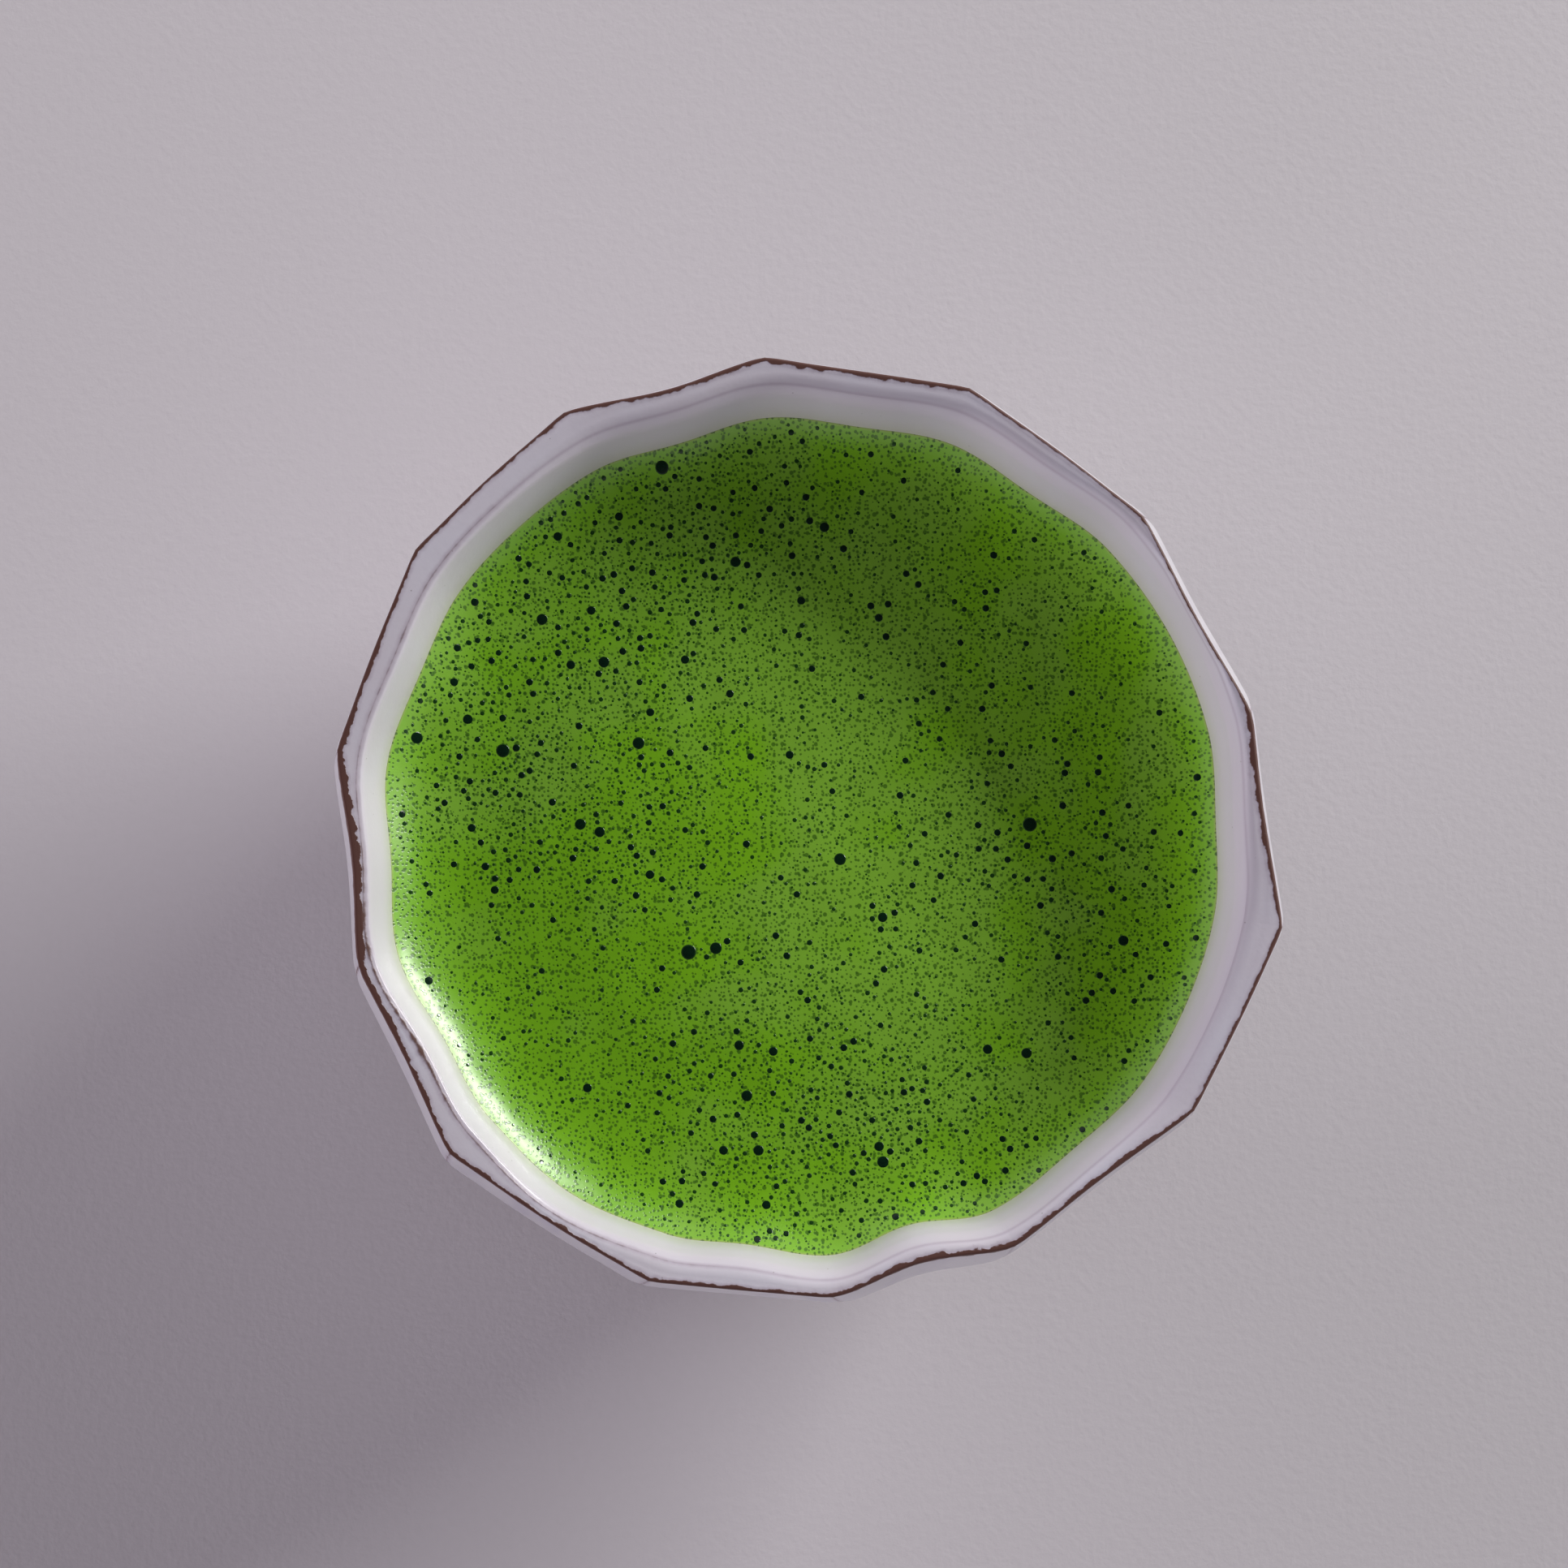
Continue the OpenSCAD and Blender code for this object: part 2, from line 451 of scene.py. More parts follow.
def lip_rings():
    """Rings from the arris over the flat lip and round its inner arris, how much each
    lies on the flat, the ring at the middle of the inner arris, and the last height."""
    theta = LIP_THETA
    _, centre, _ = outer_arris()
    soft = around(INNER_ROUND, theta) * MM
    corner = np.minimum(inner_wall(theta, LIP_TOP) + 0.5 * MM, centre - 0.2 * MM)
    width = centre - corner
    crown = 0.05 * width
    start = corner + np.minimum(soft, 0.7 * width)
    down = LIP_TOP - soft * 1.1
    wall = inner_wall(theta, down)
    rings = [arris_point(turn) for turn in (45, 60, 75, 90)]
    for part in (0.06, 0.14, 0.26, 0.42, 0.6, 0.8, 1.0):
        radius = centre + (start - centre) * part
        rings.append(ring(theta, radius, LIP_TOP - crown * part**2))
    land = [1.0] * len(rings)
    corner_rows = np.linspace(0, 1, 10)[1:]
    for part in corner_rows:
        radius = bezier(start, corner, wall, part)
        height = bezier(LIP_TOP - crown, LIP_TOP - crown, down, part)
        rings.append(ring(theta, radius, height))
        land.append(1 - smooth_step(part))
    return rings, land, len(rings) - len(corner_rows) // 2 - 1, down


def inside_coat_back():
    """Rings over the floor and up the back of the inside glaze, against the clay."""
    theta = LIP_THETA
    under = FLOOR_Z - GLAZE
    floor = [(0.35 * HOLLOW[0], FLOOR_Z), (0.1 * MM, FLOOR_Z), (0.1 * MM, under)]
    floor.append((0.8 * HOLLOW[0], under))
    rings = [ring(theta, radius, z) for radius, z in floor]
    for part in np.linspace(0.95, 0, 10):
        z = height_under_foam(part)
        rings.append(ring(theta, inner_wall(theta, z) + GLAZE, z - 0.3 * MM))
    for z in np.linspace(FOAM_BASE_Z, LIP_Z - 1.2 * MM, 8)[1:]:
        _, outside, _ = clay_wall(z)
        inside = inner_wall(theta, z)
        rings.append(ring(theta, inside + np.minimum(GLAZE, 0.5 * (outside - inside)), z))
    return rings


def make_inside_coat():
    """The glaze from the lip's arris over the lip and down the inside."""
    theta = LIP_THETA
    rings, land, corner_ring, down = lip_rings()
    for part in np.linspace(0, 1, 24)[1:]:
        z = down + part * (FOAM_BASE_Z - down)
        rings.append(ring(theta, inner_wall(theta, z), z))
    for part in np.linspace(0, 0.98, 14)[1:]:
        z = height_under_foam(part)
        rings.append(ring(theta, inner_wall(theta, z), z))
    rings += inside_coat_back()
    land += [0.0] * (len(rings) - len(land))
    steps = [NO_MARK]
    for before, here in zip(rings, rings[1:]):
        steps.append(steps[-1] + np.linalg.norm(here - before, axis=1) / MM)
    rows = len(rings)
    marks = {
        "arris_mm": steps,
        "break_mm": [np.abs(step - steps[corner_ring]) for step in steps],
        "arris_w": [around(ARRIS_LINE, theta)] * rows,
        "break_w": [around(INNER_LINE, theta)] * rows,
        "tea_mm": [(points[:, 2] - TEA_Z) / MM for points in rings],
        "land": [NO_MARK + flat for flat in land],
    }
    return loft("glaze_inside", rings, marks, loop=True)


# ---------------------------------------------------------------- clay

def wall_rings():
    """Rings down the clay's outer wall, and down its grooved underside to the foot."""
    rings = []
    for z in np.linspace(LIP_Z - CLAY_DROP, GLAZE_LINE_Z + 6 * MM, 12):
        theta, radius, _ = clay_wall(z)
        rings.append(ring(theta, radius, z))
    for z in np.linspace(GLAZE_LINE_Z + 5 * MM, FOOT_TOP + 0.6 * MM, 60):
        theta, radius, _ = clay_wall(z)
        groove = GROOVE * np.sin(z / GROOVE_STEP)
        groove = groove + FINE_GROOVE * np.sin(z / FINE_GROOVE_STEP + theta)
        bare = smooth_step((GLAZE_LINE_Z + 2 * MM - z) / (3 * MM))
        rings.append(ring(theta, radius + groove * bare, z))
    return rings


def foot_section():
    """(radius, height) down the foot ring, round its worn edges and up the recess."""
    inner_r = FOOT_R - FOOT_WIDTH
    flat = FOOT_WIDTH - 2 * FOOT_EDGE
    section = [
        (FOOT_R + 0.5 * MM, FOOT_TOP + 0.2 * MM),
        (FOOT_R + 0.1 * MM, FOOT_TOP - 0.3 * MM),
        (FOOT_R, FOOT_TOP - 0.9 * MM),
    ]
    for z in np.linspace(FOOT_TOP - 1.4 * MM, FOOT_EDGE, 14):
        section.append((FOOT_R + 0.06 * MM * math.sin(z / (0.3 * MM)), z))
    for turn in np.radians(np.linspace(0, 90, 6)):
        radius = FOOT_R - FOOT_EDGE * (1 - math.cos(turn))
        section.append((radius, FOOT_EDGE * (1 - math.sin(turn))))
    for part in np.linspace(0, 1, 6)[1:]:
        section.append((FOOT_R - FOOT_EDGE - flat * part, 0))
    for turn in np.radians(np.linspace(15, 90, 6)):
        radius = inner_r + FOOT_EDGE * (1 - math.sin(turn))
        section.append((radius, FOOT_EDGE * (1 - math.cos(turn))))
    for z in np.linspace(FOOT_EDGE, RECESS_Z - 0.8 * MM, 8)[1:]:
        section.append((inner_r - 0.5 * MM * z / RECESS_Z, z))
    return section


def recess_rings(theta):
    """Rings over the recess, with its turning marks and the nub in its middle."""
    rings = []
    for radius in np.linspace(FOOT_R - FOOT_WIDTH - 0.9 * MM, 0.2 * MM, 60):
        nub = (MIDDLE_Z - RECESS_Z) * math.exp(-((radius / NUB_WIDTH) ** 2))
        swirl = GROOVE * np.sin(radius / SWIRL_STEP + theta)
        rings.append(ring(theta, radius, RECESS_Z + nub + swirl))
    return rings


def hollow_rings():
    """Rings from the floor up the inside of the clay, behind the glaze."""
    theta = LIP_THETA
    rings = []
    for part in np.linspace(0.98, 0, 14):
        z = height_under_foam(part)
        rings.append(ring(theta, inner_wall(theta, z) + GLAZE, z - 0.4 * MM))
    for z in np.linspace(FOAM_BASE_Z, LIP_Z - CLAY_DROP, 8)[1:]:
        _, outer, _ = clay_wall(z)
        reach = np.minimum(inner_wall(theta, z) + GLAZE, outer - 0.15 * MM)
        rings.append(ring(theta, reach, z))
    return [rings[0] * (0.3, 0.3, 1)] + rings


def make_clay():
    """The clay: inner wall, outer wall, turned underside, foot ring and recess."""
    theta = clay_wall(GLAZE_LINE_Z)[0]
    foot = [ring(theta, radius, z) for radius, z in foot_section()]
    rings = hollow_rings() + wall_rings() + foot + recess_rings(theta)
    return loft("clay_bowl", rings, {}, loop=False)


# ---------------------------------------------------------------- foam

def foam_edge(theta):
    """Distance from the axis to the edge of the foam, on the wall."""
    return inner_wall(theta, TEA_Z + MENISCUS_RISE)


def foam_height(x, y):
    """Height of the foam's surface."""
    from_wall = foam_edge(np.arctan2(y, x)) - np.hypot(x, y)
    rise = MENISCUS_RISE * np.exp(-np.maximum(from_wall, 0) / MENISCUS_REACH)
    away = smooth_step(from_wall / (3 * MM))
    uneven = FOAM_UNEVEN * (lumps(x, y, 4 * MM, 41) + lumps(x, y, 9 * MM, 42))
    return TEA_Z + rise + away * uneven


# Soft patches of the foam, in mm: x, y, radius and how much paler (or, if negative,
# more saturated) than the rest.
TONES = [
    (-6, 21, 14, 0.5), (7, 19, 12, 0.5), (6, -12, 14, 0.5), (20, -5, 12, 0.4),
    (-40, 8, 12, 0.3), (17, -25, 14, 0.3), (-30, -11, 16, -0.6), (-30, -34, 14, -0.5),
    (-11, 6, 9, -0.6), (41, -13, 13, -0.4), (-8, -34, 12, -0.3), (30, 12, 14, -0.2),
]
# Distances from the foam's edge, in mm, of its outermost rings.
EDGE_STEPS = [
    0, 0.12, 0.25, 0.4, 0.6, 0.85, 1.1, 1.4, 1.8, 2.2, 2.7, 3.2, 3.8, 4.5, 5.3, 6.3, 7.5, 9,
]
FOAM_COLUMNS = 360


def tone_at(x, y):
    """How pale the foam is at a place."""
    total = 0.35 * lumps(x, y, 8 * MM, 43) + 0.2 * lumps(x, y, 4 * MM, 44)
    for patch_x, patch_y, radius, weight in TONES:
        away = np.hypot(x - patch_x * MM, y - patch_y * MM) / (radius * MM)
        total = total + 1.4 * weight * np.exp(-(away**2))
    return total


def make_foam():
    """The head of foam: its top climbs the wall, and its base lies on the tea."""
    theta = np.arange(FOAM_COLUMNS) * TURN / FOAM_COLUMNS
    edge = foam_edge(theta)
    rings, wall_mm, tone = [], [], []
    for z in (FOAM_BASE_Z, TEA_Z - 1 * MM, TEA_Z + 1 * MM):
        rings.append(ring(theta, inner_wall(theta, z) + FOAM_OVERLAP, z))
        wall_mm.append(np.zeros(FOAM_COLUMNS))
        tone.append(np.zeros(FOAM_COLUMNS))
    inwards = [edge + FOAM_OVERLAP - step * MM for step in EDGE_STEPS]
    last = inwards[-1]
    inwards += [last * (1 - part) for part in np.linspace(0, 0.985, 48)[1:]]
    for reach in inwards:
        x, y = reach * np.cos(theta), reach * np.sin(theta)
        rings.append(np.column_stack([x, y, foam_height(x, y)]))
        wall_mm.append((edge - reach) / MM)
        tone.append(tone_at(x, y))
    return loft("foam_head", rings, {"wall_mm": wall_mm, "tone": tone}, loop=False)


# The largest bubbles, in mm: x, y and diameter.
LARGE_BUBBLES = [
    (-14.5, -15, 2.1), (-11, -14.5, 1.7), (-38.5, 11, 1.9), (-21, 12, 1.7), (29.5, 1.5, 2),
    (5, -3, 1.7), (-49.5, 12.5, 1.7), (-33.5, 28, 1.6), (-8.5, 35.5, 1.5), (-18, 47.5, 1.9),
    (-28.5, 1.5, 1.6), (-26, 0.5, 1.5), (3, 40, 1.4), (-25.5, 22.5, 1.6), (-43, 15, 1.5),
    (-7, -33.5, 1.6), (-5.5, -40.5, 1.5), (10.5, -42, 1.7), (10, -40, 1.4), (29, -28, 1.5),
    (24, -27.5, 1.4), (10.5, -10.5, 1.4), (41.5, -13.5, 1.5), (-8, -27, 1.4),
    (-27.5, -32.5, 1.3), (-10, -40.5, 1.3), (-4.5, -47.5, 1.3), (-19.5, -5, 1.3),
    (-39.5, -7, 1.2), (-42.5, 1, 1.2), (-1.5, 10.5, 1.2), (0, 30.5, 1.2), (-19.5, 16, 1.2),
]
# Where smaller bubbles gather, in mm: x, y, radius and weight.
BUBBLE_CLUSTERS = [
    (-33, 25, 17, 1.1), (-42, 8, 11, 0.9), (-14, 42, 14, 0.9), (0, -40, 16, 0.9),
    (12, -38, 10, 0.8), (-20, -2, 10, 0.6), (40, -15, 10, 0.5), (25, 0, 10, 0.4),
]
# How many smaller bubbles there are, and the least and greatest diameter, in mm.
BUBBLE_SIZES = [(34, 1.05, 1.3), (760, 0.7, 1.1), (3300, 0.42, 0.7)]
BUBBLE_SPACING = 0.56        # least distance between centres, as a part of both diameters
BUBBLE_MARGIN = 0.8          # least distance of a centre from the foam's edge, in mm
BUBBLE_DOME = 0.045          # height of a bubble's dome, as a part of its diameter
BUBBLE_SINK = 0.01 * MM      # how far a bubble's rim lies under the foam's surface
BUBBLE_DEPTH = 0.12 * MM     # depth of a bubble's closed underside in the foam
SPARSE = 0.18                # how thickly small bubbles lie away from the clusters
DENSE = 0.7                  # how much more thickly in a cluster of weight 1
BUBBLE_CELL = 2.5            # width of the squares that bubbles are sorted into, in mm


def crowd(x, y):
    """How thickly small bubbles lie at a place, from 0 to 1."""
    total = SPARSE
    for cluster_x, cluster_y, radius, weight in BUBBLE_CLUSTERS:
        away = math.hypot(x - cluster_x, y - cluster_y) / radius
        total += DENSE * weight * math.exp(-(away**2))
    return min(total, 1)


def scatter_bubbles():
    """Every bubble as (x, y, diameter) in mm: the large ones and a seeded scatter."""
    chance = random.Random(7)
    placed = []
    cells = {}

    def cell_of(x, y):
        return int(x // BUBBLE_CELL), int(y // BUBBLE_CELL)

    def put(x, y, size):
        placed.append((x, y, size))
        cells.setdefault(cell_of(x, y), []).append((x, y, size))

    def free(x, y, size):
        column, row = cell_of(x, y)
        for cell in itertools.product(range(column - 1, column + 2), range(row - 1, row + 2)):
            for other_x, other_y, other in cells.get(cell, []):
                if math.hypot(x - other_x, y - other_y) < BUBBLE_SPACING * (size + other):
                    return False
        return True

    for bubble in LARGE_BUBBLES:
        put(*bubble)
    for count, smallest, largest in BUBBLE_SIZES:
        wanted = len(placed) + count
        while len(placed) < wanted:
            angle, reach = chance.uniform(0, TURN), math.sqrt(chance.random())
            limit = float(foam_edge(np.array([angle]))[0]) / MM - BUBBLE_MARGIN
            x, y = reach * limit * math.cos(angle), reach * limit * math.sin(angle)
            size = smallest + (largest - smallest) * chance.random() ** 1.6
            if chance.random() < crowd(x, y) and free(x, y, size):
                put(x, y, size)
    return placed


def bubble_detail(size):
    """How many sides and steps a bubble of a diameter in mm is drawn with."""
    if size >= 1.2:
        return 20, 5
    return (12, 3) if size >= 0.7 else (8, 2)


def make_bubbles():
    """Closed shallow domes of dark tea film, sunk a little into the foam."""
    points, faces, size_mm, rim = [], [], [], []
    for x, y, size in scatter_bubbles():
        sides, steps = bubble_detail(size)
        turns = np.arange(sides) * TURN / sides
        order = np.arange(sides)
        after = np.roll(order, -1)
        first = len(points)
        for step in range(steps):
            part = 1 - step / steps
            reach = part * size / 2
            px = (x + reach * np.cos(turns)) * MM
            py = (y + reach * np.sin(turns)) * MM
            dome = BUBBLE_DOME * size * (1 - part**2) * MM - BUBBLE_SINK
            points += np.column_stack([px, py, foam_height(px, py) + dome]).tolist()
            rim += [part] * sides
        top, bottom = len(points), len(points) + 1
        z = float(foam_height(np.array([x * MM]), np.array([y * MM]))[0])
        points.append([x * MM, y * MM, z + BUBBLE_DOME * size * MM])
        points.append([x * MM, y * MM, z - BUBBLE_DEPTH])
        rim += [0, 0]
        size_mm += [size] * (len(points) - first)
        for a in range(first, top - sides, sides):
            b = a + sides
            faces += np.column_stack([a + order, a + after, b + after, b + order]).tolist()
        last = top - sides
        for i, j in zip(order.tolist(), after.tolist()):
            faces.append((last + i, last + j, top))
            faces.append((first + j, first + i, bottom))
    return finish_mesh("foam_bubbles", points, faces, {"size_mm": size_mm, "rim": rim})


# ---------------------------------------------------------------- materials

def add(tree, kind, inputs=None, **settings):
    """New shader node. Each input is a value or the output socket of another node."""
    node = tree.nodes.new(kind)
    for name, value in settings.items():
        setattr(node, name, value)
    for key, value in (inputs or {}).items():
        if isinstance(value, bpy.types.NodeSocket):
            tree.links.new(value, node.inputs[key])
        else:
            node.inputs[key].default_value = value
    return node


def new_material(name):
    """Material with one Principled shader: returns it, its tree and the shader."""
    material = bpy.data.materials.new(name)
    material.use_nodes = True
    tree = material.node_tree
    tree.nodes.clear()
    shader = add(tree, "ShaderNodeBsdfPrincipled")
    add(tree, "ShaderNodeOutputMaterial", {"Surface": shader.outputs[0]})
    return material, tree, shader


def place(tree):
    """The place on the object, in metres."""
    return add(tree, "ShaderNodeTexCoord").outputs["Object"]


def mark(tree, name):
    """A mark stored on the mesh."""
    return add(tree, "ShaderNodeAttribute", attribute_name=name).outputs["Fac"]


def calc(tree, operation, a, b, c=0.0):
    """Result of a sum on two values, or on three for MULTIPLY_ADD."""
    return add(tree, "ShaderNodeMath", {0: a, 1: b, 2: c}, operation=operation).outputs[0]


def rise(tree, value, low, high):
    """0 at low, 1 at high, smooth between; low may be above high."""
    node = add(tree, "ShaderNodeMapRange", {"Value": value, "From Min": low, "From Max": high})
    node.interpolation_type = "SMOOTHSTEP"
    return node.outputs["Result"]


def noise(tree, size, detail=2.0, stretch=(1, 1, 1)):
    """Noise from 0 to 1 with features of a given size in metres."""
    moved = add(tree, "ShaderNodeMapping", {"Vector": place(tree), "Scale": stretch})
    inputs = {"Vector": moved.outputs[0], "Scale": 1 / size, "Detail": detail, "Roughness": 0.55}
    return add(tree, "ShaderNodeTexNoise", inputs).outputs["Fac"]


def mix(tree, factor, a, b):
    """Blend of two colours."""
    return add(tree, "ShaderNodeMix", {0: factor, 6: a, 7: b}, data_type="RGBA").outputs[2]


def blend(tree, base, factor, strength, tint):
    """A colour with a tint laid over it by a factor times a strength."""
    return mix(tree, calc(tree, "MULTIPLY", factor, strength), base, tint)


def bump(tree, height, distance, strength=1.0, under=None):
    """Normal from a height map."""
    inputs = {"Height": height, "Distance": distance, "Strength": strength}
    if under is not None:
        inputs["Normal"] = under
    return add(tree, "ShaderNodeBump", inputs).outputs[0]


def colour(red, green, blue):
    """Opaque colour."""
    return (red, green, blue, 1)


def cell_distance(tree, size):
    """Distance from the nearest of many scattered points, as a part of their spacing."""
    inputs = {"Vector": place(tree), "Scale": 1 / size}
    return add(tree, "ShaderNodeTexVoronoi", inputs).outputs["Distance"]


# Colours of the glaze, clay, tea, foam, bubbles and floor.
WHITE_INSIDE = colour(0.70, 0.65, 0.72)
WHITE_OUTSIDE = colour(0.62, 0.60, 0.64)
LAVENDER = colour(0.72, 0.70, 0.79)
GREY_VIOLET = colour(0.46, 0.43, 0.54)
# painted reflection: olive that stands in for the green tea reflecting on the inner wall
TEA_REFLECTION_OLIVE = colour(0.55, 0.52, 0.40)
PURPLE_GLAZE = colour(0.36, 0.27, 0.36)
RUST = colour(0.12, 0.052, 0.042)
IRON_SPECK = colour(0.16, 0.12, 0.11)
DARK_CLAY = colour(0.085, 0.042, 0.028)
BROWN_CLAY = colour(0.15, 0.08, 0.052)
PALE_GRAIN = colour(0.26, 0.17, 0.12)
BLACK_GROG = colour(0.03, 0.018, 0.014)
DEEP_TEA = colour(0.012, 0.035, 0.004)
GREEN_TEA = colour(0.03, 0.08, 0.008)
RICH_FOAM = colour(0.212, 0.535, 0.005)
PALE_FOAM = colour(0.245, 0.535, 0.036)
WALL_FOAM = colour(0.25, 0.55, 0.03)
THIN_FOAM = colour(0.34, 0.50, 0.10)
FOAM_PIT = colour(0.03, 0.12, 0.002)
PALE_FILM = colour(0.02, 0.085, 0.008)
DARK_FILM = colour(0.003, 0.018, 0.007)
FILM_RIM = colour(0.05, 0.16, 0.01)
GREY_PAPER = colour(0.69, 0.655, 0.685)
WHITE_PAPER = colour(0.72, 0.685, 0.715)


def glaze_material(name, white, cool, streaks):
    """Milky glaze that breaks to purple and to brown clay where it is thin, with a painted
    olive reflection of the green tea just above the tea line. streaks is the strength of its
    cooler streaks."""
    material, tree, shader = new_material(name)
    mottle = noise(tree, 1.6 * MM, 4)
    streak = noise(tree, 5 * MM, 3, (1, 1, 0.35))
    cloud = noise(tree, 16 * MM, 2)
    uneven = calc(tree, "MULTIPLY_ADD", mottle, 2.2, -0.1)
    arris_reach = calc(tree, "MULTIPLY", mark(tree, "arris_w"), uneven)
    arris = calc(tree, "SUBTRACT", arris_reach, mark(tree, "arris_mm"))
    break_reach = calc(tree, "MULTIPLY", mark(tree, "break_w"), uneven)
    breaks = calc(tree, "SUBTRACT", break_reach, mark(tree, "break_mm"))
    thin = calc(tree, "MAXIMUM", rise(tree, arris, -0.08, 0.1), rise(tree, breaks, 0.05, 0.5))
    fringe = calc(tree, "MAXIMUM", rise(tree, arris, -0.6, 0.1), rise(tree, breaks, -0.45, 0.2))
    tint = calc(tree, "MULTIPLY", mark(tree, "land"), rise(tree, cloud, 0.2, 0.75))
    # painted reflection of the green tea: the inner wall turns olive within 9 mm above the tea
    tea_reflection = rise(tree, mark(tree, "tea_mm"), 9.0, 0.5)
    specks = rise(tree, cell_distance(tree, 2.6 * MM), 0.05, 0.02)
    base = mix(tree, tint, white, cool)
    base = blend(tree, base, rise(tree, streak, 0.45, 0.75), streaks, cool)
    base = blend(tree, base, tea_reflection, 0.75, TEA_REFLECTION_OLIVE)
    base = blend(tree, base, fringe, 0.45, PURPLE_GLAZE)
    base = mix(tree, thin, base, RUST)
    base = blend(tree, base, specks, 0.5, IRON_SPECK)
    tree.links.new(base, shader.inputs["Base Color"])
    tree.links.new(calc(tree, "MULTIPLY_ADD", thin, 0.2, 0.32), shader.inputs["Roughness"])
    ripple = noise(tree, 1.1 * MM, 2)
    skin = bump(tree, ripple, 0.05 * MM, 0.6)
    skin = bump(tree, thin, 0.06 * MM, 0.8, skin)
    tree.links.new(skin, shader.inputs["Normal"])
    shader.inputs["Coat Weight"].default_value = 0.25
    shader.inputs["Coat Roughness"].default_value = 0.12
    return material


def clay_material():
    """Dark iron-rich stoneware with grog and turning marks."""
    material, tree, shader = new_material("bare_clay")
    body = noise(tree, 6 * MM, 4)
    grain = noise(tree, 0.5 * MM, 3)
    grog = rise(tree, cell_distance(tree, 1.7 * MM), 0.14, 0.09)
    base = mix(tree, rise(tree, body, 0.3, 0.7), DARK_CLAY, BROWN_CLAY)
    base = mix(tree, rise(tree, grain, 0.62, 0.75), base, PALE_GRAIN)
    base = blend(tree, base, grog, 0.6, BLACK_GROG)
    tree.links.new(base, shader.inputs["Base Color"])
    turned = noise(tree, 1.2 * MM, 2, (0.12, 0.12, 3))
    skin = bump(tree, turned, 0.1 * MM, 0.5)
    skin = bump(tree, grain, 0.12 * MM, 0.6, skin)
    tree.links.new(skin, shader.inputs["Normal"])
    shader.inputs["Roughness"].default_value = 0.82
    return material


def tea_material():
    """Deep green liquid tea."""
    material, tree, shader = new_material("green_tea")
    cloud = noise(tree, 9 * MM, 3)
    base = mix(tree, cloud, DEEP_TEA, GREEN_TEA)
    tree.links.new(base, shader.inputs["Base Color"])
    shader.inputs["Roughness"].default_value = 0.08
    return material


def pits(tree, size, share, widest):
    """Tiny round pits: 1 inside, 0 outside. share is the part of the cells of a size
    that hold one, and widest is the largest pit's radius as a part of its cell."""
    moved = add(tree, "ShaderNodeMapping", {"Vector": place(tree), "Scale": (1, 1, 0)})
    inputs = {"Vector": moved.outputs[0], "Scale": 1 / size, "Randomness": 0.9}
    cell = add(tree, "ShaderNodeTexVoronoi", inputs, voronoi_dimensions="2D")
    pick = add(tree, "ShaderNodeSeparateColor", {0: cell.outputs["Color"]})
    keep = rise(tree, pick.outputs[0], 1 - share, 1 - share + 0.02)
    radius = calc(tree, "MULTIPLY_ADD", pick.outputs[1], widest * 0.6, widest * 0.4)
    inside = calc(tree, "SUBTRACT", radius, cell.outputs["Distance"])
    return calc(tree, "MULTIPLY", keep, rise(tree, inside, -0.05, 0.07))


def foam_material():
    """Fine wet foam: pale and saturated patches, dotted with tiny dark pits."""
    material, tree, shader = new_material("whisked_foam")
    tone = rise(tree, mark(tree, "tone"), -0.9, 0.9)
    mottle = noise(tree, 2.2 * MM, 4)
    shade = calc(tree, "ADD", tone, calc(tree, "MULTIPLY_ADD", mottle, 0.5, -0.25))
    wall = mark(tree, "wall_mm")
    fine = pits(tree, 0.6 * MM, 0.85, 0.36)
    small = pits(tree, 1.1 * MM, 0.5, 0.28)
    holes = calc(tree, "MAXIMUM", fine, small)
    base = mix(tree, rise(tree, shade, 0, 1), RICH_FOAM, PALE_FOAM)
    base = blend(tree, base, rise(tree, wall, 3.2, 0.6), 0.2, WALL_FOAM)
    base = mix(tree, rise(tree, wall, 0.35, 0.05), base, THIN_FOAM)
    base = blend(tree, base, fine, 0.75, FOAM_PIT)
    base = blend(tree, base, small, 0.75, FOAM_PIT)
    tree.links.new(base, shader.inputs["Base Color"])
    skin = bump(tree, noise(tree, 0.35 * MM, 2), 0.015 * MM, 0.4)
    skin = bump(tree, holes, -0.04 * MM, 0.35, skin)
    tree.links.new(skin, shader.inputs["Normal"])
    shader.inputs["Roughness"].default_value = 0.34
    shader.inputs["Specular IOR Level"].default_value = 0.95
    return material


def bubble_material():
    """Dark glossy bubbles, the large ones nearly black."""
    material, tree, shader = new_material("tea_bubbles")
    big = rise(tree, mark(tree, "size_mm"), 0.4, 1.1)
    rim = rise(tree, mark(tree, "rim"), 0.72, 1.0)
    base = mix(tree, big, PALE_FILM, DARK_FILM)
    base = blend(tree, base, rim, 0.6, FILM_RIM)
    tree.links.new(base, shader.inputs["Base Color"])
    shader.inputs["Roughness"].default_value = 0.12
    shader.inputs["Specular IOR Level"].default_value = 0.5
    return material


def paper_material():
    """Pale, faintly grained floor."""
    material, tree, shader = new_material("pale_floor")
    grain = noise(tree, 1.2 * MM, 4)
    base = mix(tree, grain, GREY_PAPER, WHITE_PAPER)
    tree.links.new(base, shader.inputs["Base Color"])
    skin = bump(tree, grain, 0.12 * MM, 0.5)
    tree.links.new(skin, shader.inputs["Normal"])
    shader.inputs["Roughness"].default_value = 0.9
    shader.inputs["Specular IOR Level"].default_value = 0.2
    return material


def dress(piece, slot, material, *nodes):
    """Gives a piece its material and its place in the frame."""
    piece.data.materials.clear()
    piece.data.materials.append(material)
    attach(piece, "root")
    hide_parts(*nodes)


# ---------------------------------------------------------------- the object

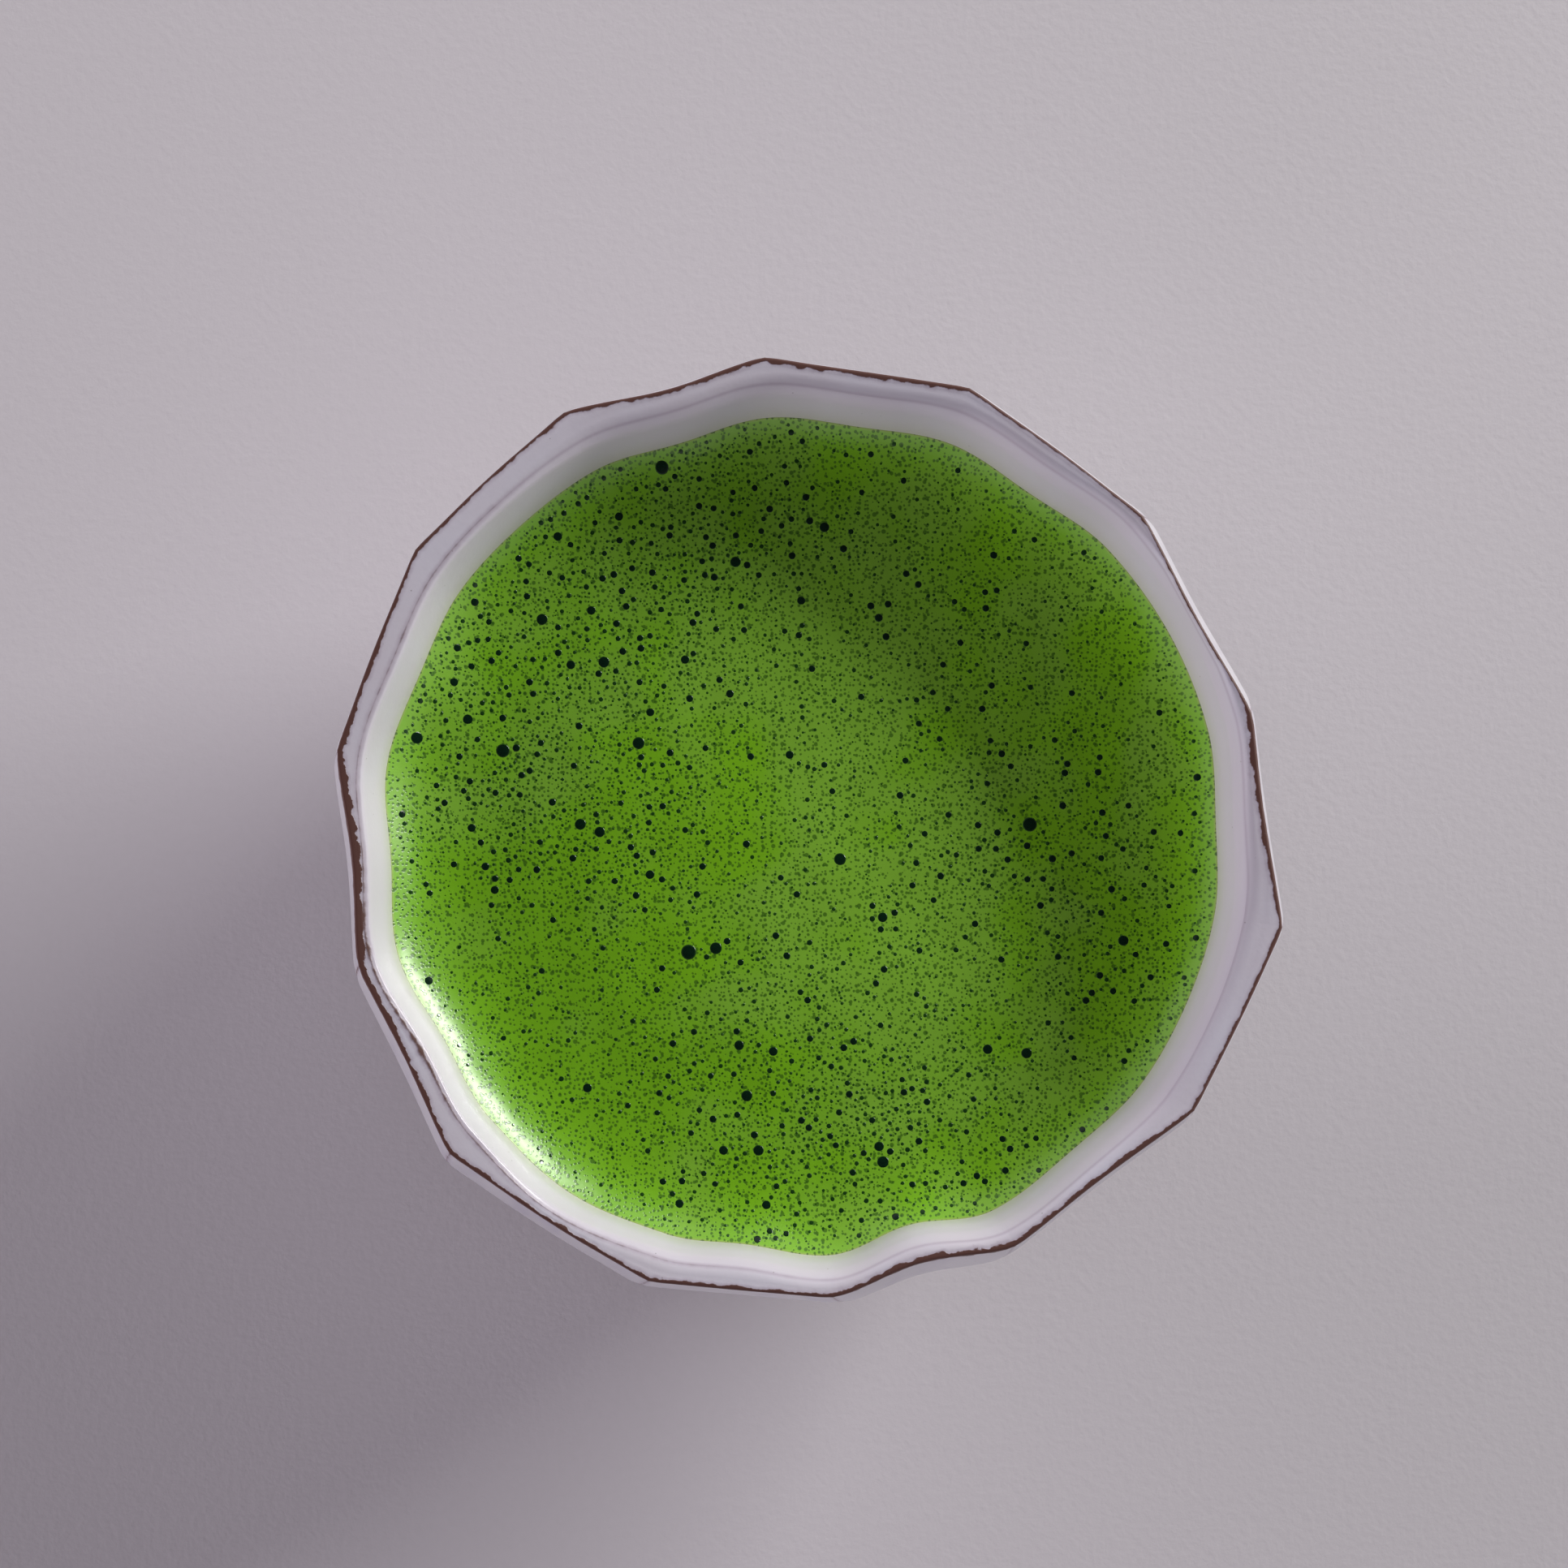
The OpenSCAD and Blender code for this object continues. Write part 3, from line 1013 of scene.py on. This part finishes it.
facet_glaze = glaze_material("glaze_on_facets", WHITE_OUTSIDE, GREY_VIOLET, 0.5)
wall_glaze = glaze_material("glaze_on_wall", WHITE_INSIDE, LAVENDER, 0.25)
dress(make_clay(), "clay", clay_material(), "stoneware_body")
dress(make_outside_coat(), "outside_glaze", facet_glaze, "outside_glaze")
dress(make_inside_coat(), "inside_glaze", wall_glaze, "inside_glaze")
dress(make_foam(), "foam", foam_material(), "tea_foam")
bubbles = make_bubbles()
bubbles.data.materials.append(bubble_material())
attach(bubbles, "root")
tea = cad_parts["tea_liquid"]
tea.data.materials.clear()
tea.data.materials.append(tea_material())


# ---------------------------------------------------------------- studio

FLOOR_HALF = 1.5             # half the floor's width
FOCAL_LENGTH = 144.6         # of the camera's lens, in mm, on a sensor 36 mm wide
CAMERA_DISTANCE = 0.8
CAMERA_TARGET = Vector((-2.33 * MM, 5.83 * MM, LIP_Z))
CAMERA_SIDE = Vector((-0.0082, -0.068, 0.9977)).normalized()    # way from target to camera
KEY_SIZE = (0.75, 0.2)       # width and height of the key light
FILL_SIZE = (1.8, 0.6)       # width and height of each fill light
WARM = (1.0, 1.0, 0.97)
ROSE = (1.0, 0.93, 1.0)
SKY_LOW = 0.5                # extra strength of the sky near the horizon
SKY_HIGH = 0.03              # strength of the sky overhead


def make_floor():
    """Plain floor under the bowl."""
    near, far = -FLOOR_HALF, FLOOR_HALF
    corners = [(near, near, 0), (far, near, 0), (far, far, 0), (near, far, 0)]
    floor = finish_mesh("floor", corners, [(0, 1, 2, 3)], {})
    floor.data.materials.append(paper_material())


def direction(azimuth, elevation):
    """Unit vector towards an azimuth and elevation in degrees."""
    a, e = math.radians(azimuth), math.radians(elevation)
    return Vector((math.cos(e) * math.cos(a), math.cos(e) * math.sin(a), math.sin(e)))


def make_light(name, azimuth, elevation, distance, size, watts, tint, glint):
    """Soft light of a width and height, aimed at the bowl. glint says whether it shows
    in glossy surfaces."""
    lamp = bpy.data.lights.new(name, "AREA")
    lamp.shape = "RECTANGLE"
    lamp.size, lamp.size_y = size
    lamp.energy = watts
    lamp.color = tint
    light = bpy.data.objects.new(name, lamp)
    aim = direction(azimuth, elevation)
    light.location = aim * distance + Vector((0, 0, LIP_Z))
    light.rotation_euler = aim.to_track_quat("Z", "Y").to_euler()
    light.visible_glossy = glint
    bpy.context.scene.collection.objects.link(light)


def make_world():
    """Faintly violet fill from low down all round, with almost none from overhead."""
    world = bpy.data.worlds.new("studio")
    world.use_nodes = True
    tree = world.node_tree
    sky = tree.nodes["Background"]
    sky.inputs["Color"].default_value = colour(0.94, 0.88, 1.0)
    way = add(tree, "ShaderNodeTexCoord").outputs["Generated"]
    height = add(tree, "ShaderNodeSeparateXYZ", {0: way})
    low = rise(tree, height.outputs["Z"], 0.6, 0.2)
    strength = calc(tree, "MULTIPLY_ADD", low, SKY_LOW, SKY_HIGH)
    tree.links.new(strength, sky.inputs["Strength"])
    bpy.context.scene.world = world


def make_camera():
    """Long lens looking almost straight down, with +Y up in the picture."""
    lens = bpy.data.cameras.new("camera")
    lens.sensor_width = 36
    lens.lens = FOCAL_LENGTH
    camera = bpy.data.objects.new("camera", lens)
    right = Vector((0, 1, 0)).cross(CAMERA_SIDE).normalized()
    axes = Matrix((right, CAMERA_SIDE.cross(right), CAMERA_SIDE)).transposed()
    camera.location = CAMERA_TARGET + CAMERA_SIDE * CAMERA_DISTANCE
    camera.rotation_euler = axes.to_euler()
    bpy.context.scene.collection.objects.link(camera)
    bpy.context.scene.camera = camera


make_floor()
make_world()
make_light("key", 36.5, 17, 1.4, KEY_SIZE, 21, WARM, True)
make_light("left_fill", 158, 16, 1.6, FILL_SIZE, 12, ROSE, False)
make_light("near_fill", 236, 16, 1.6, FILL_SIZE, 7.5, ROSE, False)
make_camera()
bpy.context.scene.view_settings.view_transform = "Standard"
